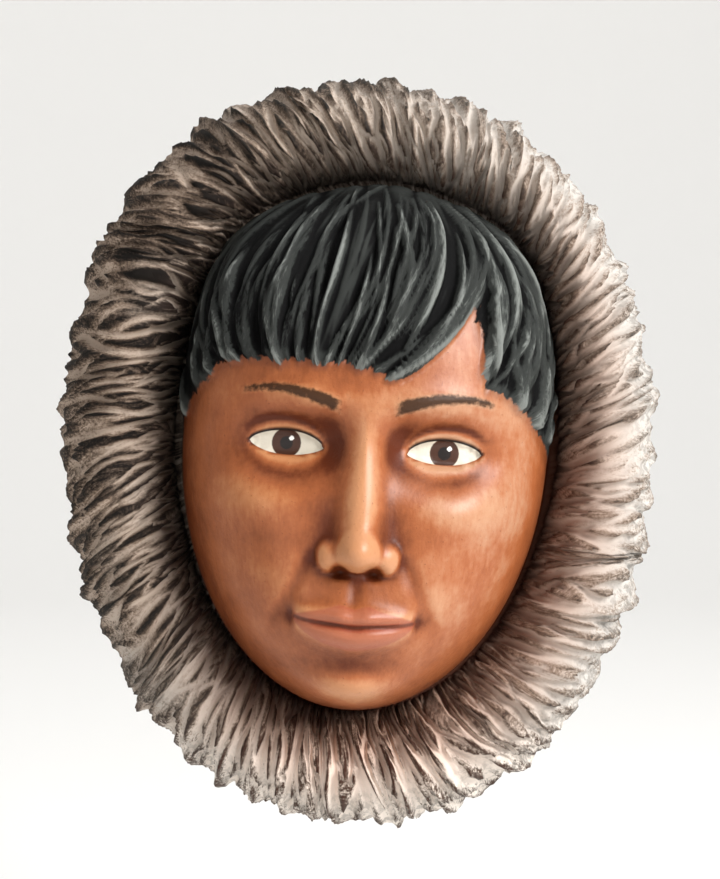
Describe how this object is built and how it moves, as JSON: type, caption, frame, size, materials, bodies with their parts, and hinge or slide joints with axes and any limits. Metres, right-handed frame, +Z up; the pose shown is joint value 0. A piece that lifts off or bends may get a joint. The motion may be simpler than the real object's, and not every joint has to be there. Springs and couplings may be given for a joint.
{
  "type": "chalkware head plaque",
  "caption": "Oval wall plaque cast in painted plaster: a calm head with combed dark hair inside a thick ruff of carved fur.",
  "frame": {"origin": "middle of the flat back, where it rests on the wall", "axes": "+Z up the wall, +Y into the wall, the face looks along -Y, +X to the viewer's right"},
  "size_m": [0.1187, 0.0604, 0.1485],
  "materials": {
    "painted_plaster": "matt hand-painted plaster: warm brown face with a faint sheen, charcoal hair, dark fur dry-brushed cream; bare back"
  },
  "bodies": {
    "root": {"head_plaque": "painted_plaster"}
  },
  "joints": []
}
